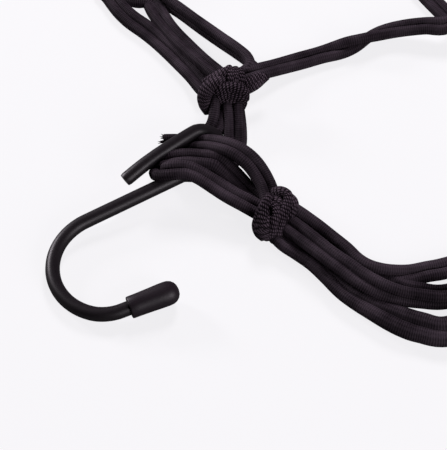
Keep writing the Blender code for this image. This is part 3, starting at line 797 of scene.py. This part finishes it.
SIDE_PASSES = (
    # left lobe
    (
        (0.4, 3.2, 3.0, 1.5), (-1.8, 2.6, 3.9, 1.9), (-4.1, 1.2, 3.8, 2.2), (-5.6, -1.0, 3.2, 2.3),
        (-5.6, -3.5, 2.4, 2.2), (-4.4, -6.0, 1.0, 1.8),
    ),
    # upper pass of the band
    (
        (-3.0, -0.7, 2.2, 1.3), (-1.6, 0.1, 4.0, 1.6), (1.2, 0.7, 4.6, 1.7), (4.0, 0.4, 4.2, 1.7),
        (5.7, -0.7, 2.8, 1.5), (6.0, -2.4, 1.0, 1.3),
    ),
    # middle pass of the band
    (
        (-2.4, -2.1, 2.6, 1.2), (-0.7, -1.4, 4.0, 1.4), (2.1, -1.4, 4.4, 1.4), (4.3, -2.0, 3.8, 1.4),
        (5.3, -3.2, 2.2, 1.4), (4.9, -4.6, 0.4, 1.3),
    ),
    # lower pass of the band
    (
        (-2.4, -3.2, 2.2, 1.1), (-0.7, -2.8, 3.4, 1.2), (1.2, -2.7, 3.8, 1.2), (3.2, -3.2, 3.2, 1.2),
        (4.6, -4.4, 1.6, 1.2),
    ),
    # crest
    (
        (-6.0, 2.1, 2.0, 1.2), (-4.1, 3.2, 3.0, 1.4), (-1.8, 4.3, 3.6, 1.5), (0.1, 5.3, 3.4, 1.5),
        (1.8, 6.3, 2.4, 1.3),
    ),
    # three short passes over the top
    (
        (1.2, 6.8, 2.2, 1.1), (1.7, 4.9, 3.8, 1.3), (1.7, 2.9, 4.2, 1.3), (1.5, 1.5, 3.6, 1.1),
    ),
    (
        (2.9, 6.6, 2.2, 1.2), (3.2, 4.6, 3.2, 1.3), (3.1, 2.6, 3.9, 1.3), (2.8, 1.2, 3.4, 1.1),
    ),
    (
        (4.5, 6.3, 1.8, 1.1), (4.7, 4.3, 3.0, 1.3), (4.5, 2.4, 3.4, 1.3), (4.0, 1.0, 3.0, 1.1),
    ),
    # the inner cord's root, standing off below it
    (
        (4.9, -0.4, 1.6, 1.4), (7.1, 0.7, 1.2, 1.5), (9.1, 1.9, 1.0, 1.5), (10.8, 3.3, 0.6, 1.4),
        (12.4, 4.5, 0.2, 1.2),
    ),
    (
        (4.3, 1.5, 1.8, 1.3), (6.6, 2.4, 1.8, 1.4), (8.8, 3.6, 1.4, 1.3), (10.5, 4.6, 0.8, 1.2),
    ),
)

BIND_PASSES = (
    # ridge of the band
    (
        (0.0, 6.4, 1.6, 1.3), (1.9, 6.8, 2.8, 1.4), (3.9, 5.7, 3.4, 1.4), (3.9, 3.6, 3.9, 1.4),
        (3.1, 1.3, 4.2, 1.4), (2.2, -0.9, 4.2, 1.4), (1.7, -3.4, 3.6, 1.3), (1.0, -5.7, 2.4, 1.3),
        (-0.3, -6.8, 0.8, 1.2),
    ),
    # outer pass of the band
    (
        (3.1, 5.8, 1.6, 1.3), (5.0, 4.5, 2.2, 1.4), (5.6, 3.0, 2.4, 1.5), (4.9, 1.0, 2.6, 1.5),
        (3.9, -0.9, 2.4, 1.4), (2.8, -2.9, 1.4, 1.2),
    ),
    # inner pass, from the recess to the bulb
    (
        (-0.9, 5.5, 2.6, 1.2), (-1.8, 3.8, 3.6, 1.3), (-2.8, 1.9, 3.8, 1.4), (-3.8, -0.1, 3.0, 1.5),
        (-4.4, -2.6, 2.2, 1.6), (-3.8, -4.6, 1.2, 1.6), (-2.5, -6.0, 0.2, 1.4),
    ),
    # floor of the recess
    (
        (-0.9, 3.6, 1.8, 1.5), (0.8, 4.1, 2.4, 1.7), (2.2, 3.0, 2.8, 1.7), (1.9, 1.0, 2.8, 1.5),
    ),
    # bulb
    (
        (-1.7, 2.2, 1.8, 1.5), (-2.3, 0.5, 2.2, 2.3), (-2.3, -1.2, 2.4, 3.0), (-2.3, -2.9, 2.4, 3.2),
        (-1.8, -4.4, 1.8, 2.9), (-1.0, -5.7, 0.8, 2.0),
    ),
    # turn over the bulb's right side
    (
        (-0.6, 3.3, 3.0, 1.3), (0.5, 1.9, 3.9, 1.4), (0.7, -0.1, 4.4, 1.4), (0.1, -2.0, 4.6, 1.4),
        (-0.3, -4.0, 3.9, 1.5), (-0.9, -5.7, 2.4, 1.4),
    ),
    # turn over the bulb's left side
    (
        (-2.0, 1.6, 4.0, 1.3), (-3.0, -0.1, 4.6, 1.4), (-3.2, -2.0, 4.5, 1.4), (-2.8, -4.0, 3.6, 1.4),
        (-1.7, -5.5, 2.2, 1.3),
    ),
)


@dataclass(frozen=True)
class Knot:
    """Passes of strand drawn tight over a rounded core."""

    passes: tuple[Rows, ...]
    core: tuple[float, float, float]
    centre_height: float
    spacing: float = 0.45
    core_rings: int = 17
    core_sides: int = 24
    core_round: float = 30.0
    core_up: float = 14.0

    def tie(self, surface: Surface, place: np.ndarray, quarter_turns: int) -> None:
        """Adds the core and the passes to a surface.

        The core is the ellipsoid centre + (a cos t cos f, b sin t cos f, c sin f). A pass is a tube whose
        radius follows the table's last column.

        Args:
            surface: Where they are added.
            place: The knot's middle, x and y.
            quarter_turns: How far it is turned about the upright.
        """
        axes = SLANT @ turn_matrix(quarter_turns).T
        middle = np.array([place[0], place[1], self.centre_height])
        pole = math.pi / 2 - 0.05
        lat = np.linspace(-pole, pole, self.core_rings)[:, None]
        lon = np.linspace(0.0, 2 * math.pi, self.core_sides, endpoint=False)[None]
        a, b, c = self.core
        ball = np.stack(
            [a * np.cos(lon) * np.cos(lat), b * np.sin(lon) * np.cos(lat), c * np.sin(lat) + 0 * lon], axis=-1
        )
        rings = ball @ axes + middle
        rings[..., 2] = np.maximum(rings[..., 2], 0.1)
        surface.kind = Kind.DRAWN_TIGHT
        around = np.linspace(0.0, self.core_round, self.core_sides + 1)
        surface.add_grid(rings, around, np.linspace(0.0, self.core_up, self.core_rings))
        for number, rows in enumerate(self.passes):
            path = smooth_curve(rows, self.spacing)
            centre = path[:, :3] @ axes + middle
            centre[:, 2] = np.maximum(centre[:, 2], path[:, 3])
            surface.add_tube(centre, path[:, 3], STRAND_SIDES, 7.9 * number)
        surface.kind = Kind.PLAIN


SIDE_KNOT = Knot(SIDE_PASSES, (5.2, 5.0, 3.9), 5.6)
BIND_KNOT = Knot(BIND_PASSES, (4.8, 5.9, 3.5), 5.2)
BIND_PLACE = (-12.1, -44.7)


# ---------------------------------------------------------------- hooks


@dataclass(frozen=True)
class Hook:
    """Bent coated wire with an open eye, and the rubber tip over its end."""

    wire_radius: float = 2.0
    bend_radius: float = 15.92
    bend_centre: tuple[float, float] = (-57.73, -33.70)
    shank_heading: float = -4.0
    leg_heading: float = -10.3
    leg_length: float = 1.2
    leg_pull: float = 0.82
    leg_pull_share: float = 0.19
    leg_ease: float = 4.7
    shank_length: float = 39.4
    eye_radius: float = 4.85
    eye_sweep: float = 189.4
    tail_length: float = 23.9
    rest_z: float = 3.45
    lean_x: float = 0.08
    lean_y: float = 0.003
    eye_top_z: float = 9.5
    tail_end_z: float = 6.4
    tail_droop: float = 2.6
    bend_rows: int = 24
    eye_rows: int = 13
    wire_sides: int = 24
    wire_spacing: float = 0.7
    cut_taper: float = 0.10
    cut_reach: float = 0.25
    wire_in_tip: float = 8.0
    tip_sides: int = 40
    tip_round: float = 18.0
    tip_profile: tuple[tuple[float, float], ...] = (
        # from the mouth, radius
        (0.6, 2.05), (0.05, 2.25), (0.0, 2.8), (0.08, 3.0), (0.35, 3.1), (2.5, 3.12), (6.0, 3.22),
        (9.0, 3.34), (10.8, 3.36), (11.9, 3.24), (12.8, 2.86), (13.5, 2.25), (14.0, 1.4), (14.2, 0.4),
    )

    def lean(self, flat: np.ndarray) -> float:
        """Height of the wire's middle over a place on the floor: it rises towards the eye."""
        centre = self.bend_centre
        return self.rest_z + self.lean_x * (flat[0] - centre[0]) + self.lean_y * (flat[1] - centre[1])

    def route(self) -> np.ndarray:
        """The wire's middle line: leg, bend, shank, then the eye's arc climbing to the tail.

        The bend is an arc that tightens by the pull over its first share, beside the leg. The eye rises
        by s s (3 - 2 s) and the tail falls by a power of its length.

        Returns:
            Rows of x, y and z in the station's frame.
        """
        centre = np.array(self.bend_centre)
        shank, leg = math.radians(self.shank_heading), math.radians(self.leg_heading)
        to_shank, to_tip, left = heading(shank), heading(leg), heading(shank + math.pi / 2)
        last = leg - math.pi / 2 - math.radians(self.leg_ease)
        start = centre + (self.bend_radius - self.leg_pull) * heading(last)
        flats = [start + reach * to_tip for reach in (self.leg_length + self.wire_in_tip, self.leg_length)]
        turns = np.linspace(last, shank - 1.5 * math.pi, self.bend_rows)
        for share, turn in zip(np.linspace(0.0, 1.0, self.bend_rows), turns):
            tighter = self.leg_pull * max(0.0, 1.0 - share / self.leg_pull_share) ** 1.5
            flats.append(centre + (self.bend_radius - tighter) * heading(turn))
        begin = centre + self.bend_radius * left
        flats += [begin + share * self.shank_length * to_shank for share in (0.25, 0.5, 0.75)]
        rows = [(*flat, self.lean(flat)) for flat in flats]
        end = begin + self.shank_length * to_shank
        eye = end + self.eye_radius * left
        turns = shank - math.pi / 2 + np.radians(np.linspace(0.0, self.eye_sweep, self.eye_rows))
        for share, turn in zip(np.linspace(0.0, 1.0, self.eye_rows), turns):
            flat = eye + self.eye_radius * heading(turn)
            rise = share**2 * (3 - 2 * share)
            rows.append((*flat, self.lean(end) * (1 - rise) + self.eye_top_z * rise))
        tail = heading(turns[-1] + math.pi / 2)
        for share in (0.25, 0.5, 0.75, 1.0):
            z = self.eye_top_z + share**self.tail_droop * (self.tail_end_z - self.eye_top_z)
            rows.append((*(flat + share * self.tail_length * tail), z))
        return np.array(rows)

    def bend_wire(self, place: np.ndarray, quarter_turns: int) -> Surface:
        """The wire as a tube, drawn in a little at its cut end where the coating is torn."""
        path = smooth_curve(turned(self.route(), place, quarter_turns), self.wire_spacing)
        along = length_along(path)
        left = along[-1] - along
        radius = self.wire_radius * (1 - self.cut_taper * np.exp(-left / self.cut_reach))
        surface = Surface()
        surface.add_tube(path, radius, self.wire_sides)
        return surface

    def turn_tip(self, place: np.ndarray, quarter_turns: int) -> Surface:
        """The tip: its profile (distance from the mouth, radius) turned about the leg's line."""
        rows = turned(self.route(), place, quarter_turns)
        mouth, toward = rows[1], unit(rows[0] - rows[1])
        side = unit(np.cross(UPRIGHT, toward))
        up = np.cross(toward, side)
        profile = np.array(self.tip_profile)
        turn = np.linspace(0.0, 2 * math.pi, self.tip_sides, endpoint=False)[None, :, None]
        rings = mouth + profile[:, None, :1] * toward + profile[:, None, 1:] * (
            np.cos(turn) * side + np.sin(turn) * up
        )
        surface = Surface()
        surface.add_grid(rings, np.linspace(0.0, self.tip_round, self.tip_sides + 1), profile[:, 0])
        return surface


# ---------------------------------------------------------------- the whole net


@dataclass
class CargoNet:
    """The net: its edge bundle with the hooks, and its woven inner cords."""

    lattice: Lattice
    cord: DoubledCord
    hook: Hook
    sleeve: bpy.types.Material
    knotted: bpy.types.Material
    coating: bpy.types.Material
    rubber: bpy.types.Material
    knot_height: float = 4.2
    flat_height: float = 1.7
    over_height: float = 5.6
    hump_reach: float = 5.5
    inner_wander: float = 2.2
    swell_power: float = 2.2
    roll_rise: float = 1.2

    def knot_place(self, stop: Stop) -> np.ndarray:
        """A side knot's place: beside a hook it is drawn back along its side."""
        place = self.lattice.even(stop.column, stop.row)
        if stop.quarter_turns is None:
            return place
        return place + self.lattice.knot_pull * heading((stop.quarter_turns + 1) * math.pi / 2)

    def side_turns(self, stop: Stop) -> int:
        """Quarter turns of the side that a knot is on."""
        if stop.quarter_turns is not None:
            return stop.quarter_turns
        return {0: 0, self.lattice.cells: 2}.get(stop.column, 1 if stop.row == 0 else 3)

    def plain(self, start: np.ndarray, end: np.ndarray) -> list[np.ndarray]:
        """The three doubled cords between two knots: the straight line plus a sideways swell.

        The swell is sin(pi s ** k), with k such that it is widest at the table's share. A cord moves
        sideways by a power of its swell, and rises as it rolls.
        """
        ahead = unit(end - start)
        across = np.array([-ahead[1], ahead[0]])
        share = np.linspace(0.0, 1.0, len(PLAIN_HEIGHTS))
        routes = []
        for at_knot, at_middle, widest, roll in PLAIN:
            bulge = np.sin(math.pi * share ** (math.log(0.5) / math.log(widest)))
            offset = at_knot + (at_middle - at_knot) * bulge**self.swell_power
            flat = start + share[:, None] * (end - start) + offset[:, None] * across
            rise = self.roll_rise * bulge * abs(math.sin(math.radians(roll)))
            height = np.array(PLAIN_HEIGHTS) + rise
            routes.append(np.column_stack([flat, height, roll * bulge]))
        return routes

    def tie_edge(self) -> None:
        """Lays the edge bundle stretch by stretch, with its knots and hooks."""
        places = [self.knot_place(stop) for stop in EDGE]
        for index, (stop, place) in enumerate(zip(EDGE, places)):
            following = (index + 1) % len(EDGE)
            ahead, end = EDGE[following], places[following]
            surface = Surface()
            SIDE_KNOT.tie(surface, place, self.side_turns(stop))
            if stop.quarter_turns is None:
                for number, rows in enumerate(self.open_stretch(place, ahead, end)):
                    self.cord.lay(surface, rows, index + 0.3 * number)
                if ahead == EDGE[0]:
                    self.cord.lay_one(surface, turned(LONG_GAP_TAIL, end, 0), index)
                self.finish_cords(surface, f"edge_cord_{stop.key}")
                continue
            for number, rows in enumerate(BIGHT.values()):
                self.cord.lay(surface, turned(rows, place, stop.quarter_turns), index + 0.3 * number)
            tail = turned(BIGHT_TAIL, place, stop.quarter_turns)
            self.cord.lay_one(surface, tail, index)
            self.cord.fray(surface, tail)
            self.finish_cords(surface, f"hook_bight_{stop.key}")
            self.hang_hook(stop, place)
            self.bind(stop, place, end, index)

    def open_stretch(self, place: np.ndarray, ahead: Stop, end: np.ndarray) -> list[np.ndarray]:
        """Routes of a stretch with no hook; the one before the first side knot has the long gap."""
        if ahead != EDGE[0]:
            return self.plain(place, end)
        start = np.array(LONG_GAP_START) + end
        routes = []
        for rows in LONG_GAP.values():
            backward = turned(rows, end, 0)[::-1]
            routes.append(stretched(backward, start, place, LONG_GAP_FIXED)[::-1])
        return routes

    def bind(self, stop: Stop, place: np.ndarray, end: np.ndarray, index: int) -> None:
        """The binding knot and the cords from it to the next side knot."""
        surface = Surface()
        binding = turned([(*BIND_PLACE, 0.0)], place, stop.quarter_turns)[0, :2]
        BIND_KNOT.tie(surface, binding, stop.quarter_turns)
        if stop.corner_next:
            nominal = turned([(*CORNER_END, 0.0)], place, stop.quarter_turns)[0, :2]
            routes = [
                stretched(turned(rows, place, stop.quarter_turns), nominal, end, CORNER_FIXED)
                for rows in CORNER.values()
            ]
            tail = stretched(turned(CORNER_TAIL, place, stop.quarter_turns), nominal, end, CORNER_FIXED)
            self.cord.lay_one(surface, tail, index + 0.2)
            name = f"corner_cord_{stop.key}"
        else:
            routes = self.plain(binding, end)
            name = f"bound_cord_{stop.key}"
        for number, rows in enumerate(routes):
            self.cord.lay(surface, rows, index + 0.5 + 0.3 * number)
        self.finish_cords(surface, name)

    def finish_cords(self, surface: Surface, node: str) -> None:
        """Makes one stretch's piece in place of its solid."""
        piece = surface.make(f"{node}_strands", Slot.CORD, (self.sleeve, self.knotted), node)
        LOG.info("%s: %d faces", piece.name, len(piece.data.polygons))

    def hang_hook(self, stop: Stop, place: np.ndarray) -> None:
        """One hook with its tip, in place of its solids."""
        node = f"hook_{stop.hook}"
        wire = self.hook.bend_wire(place, stop.quarter_turns)
        wire.make(f"{node}_bent_wire", Slot.WIRE, (self.coating,), f"{node}_wire")
        tip = self.hook.turn_tip(place, stop.quarter_turns)
        tip.make(f"{node}_moulded_tip", Slot.TIP, (self.rubber,), f"{node}_tip")
        LOG.info("%s: wire and tip", node)

    def inner_route(self, points: list[np.ndarray], over: list[bool], head: np.ndarray | None) -> np.ndarray:
        """A wandering route through crossings: low humps over some, flat under the others.

        Args:
            points: The two knots' places and the crossings between them.
            over: Whether the cord passes over at each crossing.
            head: Rows that replace the first stretch, or None.

        Returns:
            Rows of x, y, z and roll.
        """
        rows = [(*points[0], self.knot_height, 0.0)]
        for index, (a, b) in enumerate(zip(points, points[1:])):
            ahead = unit(b - a)
            across = np.array([-ahead[1], ahead[0]])
            wander = self.inner_wander if index % 2 else -self.inner_wander
            if index and over[index - 1]:
                rows.append((*(a + self.hump_reach * ahead), self.over_height, 0.0))
            if index == 0 and head is not None:
                rows = [tuple(row) for row in head]
                continue
            for share, sideways in ((0.22, 0.5), (0.5, 1.0), (0.78, 0.4)):
                rows.append((*(a + share * (b - a) + sideways * wander * across), self.flat_height, 0.0))
            if index < len(over) and over[index]:
                rows.append((*(b - self.hump_reach * ahead), self.over_height, 0.0))
        rows.append((*points[-1], self.knot_height, 0.0))
        return np.array(rows)

    def weave(self) -> None:
        """Lays the inner cords, three each way; a row passes over at even crossings, a column at odd."""
        places = {(stop.column, stop.row): self.knot_place(stop) for stop in EDGE}
        first_head = turned(FIRST_INNER, places[(0, 1)], 0)
        inner = range(1, self.lattice.cells)
        for line in inner:
            for way, shift in (("row", 0), ("column", 1)):
                steps = range(self.lattice.cells + 1)
                stops = [(step, line) if way == "row" else (line, step) for step in steps]
                crossings = [self.lattice.crossing(*stop) for stop in stops[1:-1]]
                over = [(step + line + shift) % 2 == 0 for step in inner]
                head = first_head if (way, line) == ("row", 1) else None
                route = self.inner_route([places[stops[0]], *crossings, places[stops[-1]]], over, head)
                surface = Surface()
                self.cord.lay(surface, route, line + 0.5 * shift)
                self.finish_cords(surface, f"inner_cord_{way}_{line}")


# ---------------------------------------------------------------- floor, light and camera


@dataclass(frozen=True)
class SoftBox:
    """A square light that faces the target. Its side is in metres, its power in watts."""

    name: str
    way: tuple[float, float, float]
    side: float
    power: float
    glints: bool = True

    def stand(self, target: Vector, distance: float, colour: Sequence[float]) -> None:
        """Puts the light at its way times the distance from the target."""
        data = bpy.data.lights.new(self.name, "AREA")
        data.shape = "SQUARE"
        data.size = self.side
        data.energy = self.power
        data.color = colour
        light = bpy.data.objects.new(self.name, data)
        light.location = target + distance * Vector(self.way)
        light.rotation_euler = (-Vector(self.way)).to_track_quat("-Z", "Y").to_euler()
        light.visible_glossy = self.glints
        bpy.context.scene.collection.objects.link(light)


@dataclass(frozen=True)
class Studio:
    """Pale floor, soft light, and the camera over the first hook. Lengths are in metres."""

    target: tuple[float, float, float] = (-0.18475, -0.1025, 0.0)
    azimuth: float = -32.0
    elevation: float = 55.0
    distance: float = 0.450
    floor_reach: float = 4.0
    surround: tuple[float, float, float] = (0.97, 0.97, 1.0)
    surround_strength: float = 0.015
    light_colour: tuple[float, float, float] = (1.0, 0.93, 1.0)
    light_distance: float = 0.9
    soft_boxes: tuple[SoftBox, ...] = (
        SoftBox("front", (0.22, -0.88, 0.42), 0.46, 6.4),
        SoftBox("left", (-0.34, 0.88, 0.33), 0.16, 7.5),
        SoftBox("right", (0.50, 0.52, 0.69), 0.24, 8.2, glints=False),
    )
    view_width: float = 0.12516
    sensor_mm: float = 36.0

    def back(self) -> Vector:
        """Direction from the target to the camera."""
        a, e = math.radians(self.azimuth), math.radians(self.elevation)
        return Vector((math.sin(a) * math.cos(e), -math.cos(a) * math.cos(e), math.sin(e)))

    def lay_floor(self) -> None:
        """A wide plane just under the net."""
        mesh = bpy.data.meshes.new("floor")
        reach = self.floor_reach
        corners = [(-reach, -reach, 0.0), (reach, -reach, 0.0), (reach, reach, 0.0), (-reach, reach, 0.0)]
        mesh.from_pydata(corners, [], [(0, 1, 2, 3)])
        mesh.materials.append(FloorFinish().material())
        floor = bpy.data.objects.new("floor", mesh)
        bpy.context.scene.collection.objects.link(floor)

    def light(self) -> None:
        """A faint even surround and square soft boxes that face the target."""
        world = bpy.data.worlds.new("surround")
        bpy.context.scene.world = world
        world.use_nodes = True
        background = world.node_tree.nodes["Background"]
        background.inputs["Color"].default_value = (*self.surround, 1.0)
        background.inputs["Strength"].default_value = self.surround_strength
        for box in self.soft_boxes:
            box.stand(Vector(self.target), self.light_distance, self.light_colour)

    def stand_camera(self) -> None:
        """The camera, with a lens that shows the view's width at the target."""
        data = bpy.data.cameras.new("camera")
        data.sensor_fit = "HORIZONTAL"
        data.sensor_width = self.sensor_mm
        data.lens = self.sensor_mm * self.distance / self.view_width
        data.clip_start = 0.01
        data.clip_end = 20.0
        camera = bpy.data.objects.new("camera", data)
        camera.location = Vector(self.target) + self.distance * self.back()
        camera.rotation_euler = (-self.back()).to_track_quat("-Z", "Y").to_euler()
        bpy.context.scene.collection.objects.link(camera)
        bpy.context.scene.camera = camera


def main() -> None:
    """Builds the floor, the light, the camera and the net."""
    logging.basicConfig(level=logging.INFO, format="%(name)s: %(message)s")
    studio = Studio()
    studio.lay_floor()
    studio.light()
    studio.stand_camera()
    scene = bpy.context.scene
    scene.view_settings.view_transform = "Standard"
    net = CargoNet(
        Lattice(),
        DoubledCord(),
        Hook(),
        SleeveFinish().material(),
        # The knots' sleeve: its lit colour is a brighter painted highlight on the crossed rib tops, its shade
        # the painted shade between them.
        SleeveFinish(
            "drawn_tight_sleeve",
            lit=(0.0960, 0.0715, 0.0915),
            rib_pitch=0.90,
            rib_depth=0.00036,
            rib_painted_shade=0.7,
            crossed=True,
        ).material(),
        CoatFinish().material(),
        RubberFinish().material(),
    )
    net.tie_edge()
    net.weave()


if __name__ == "__main__":
    main()
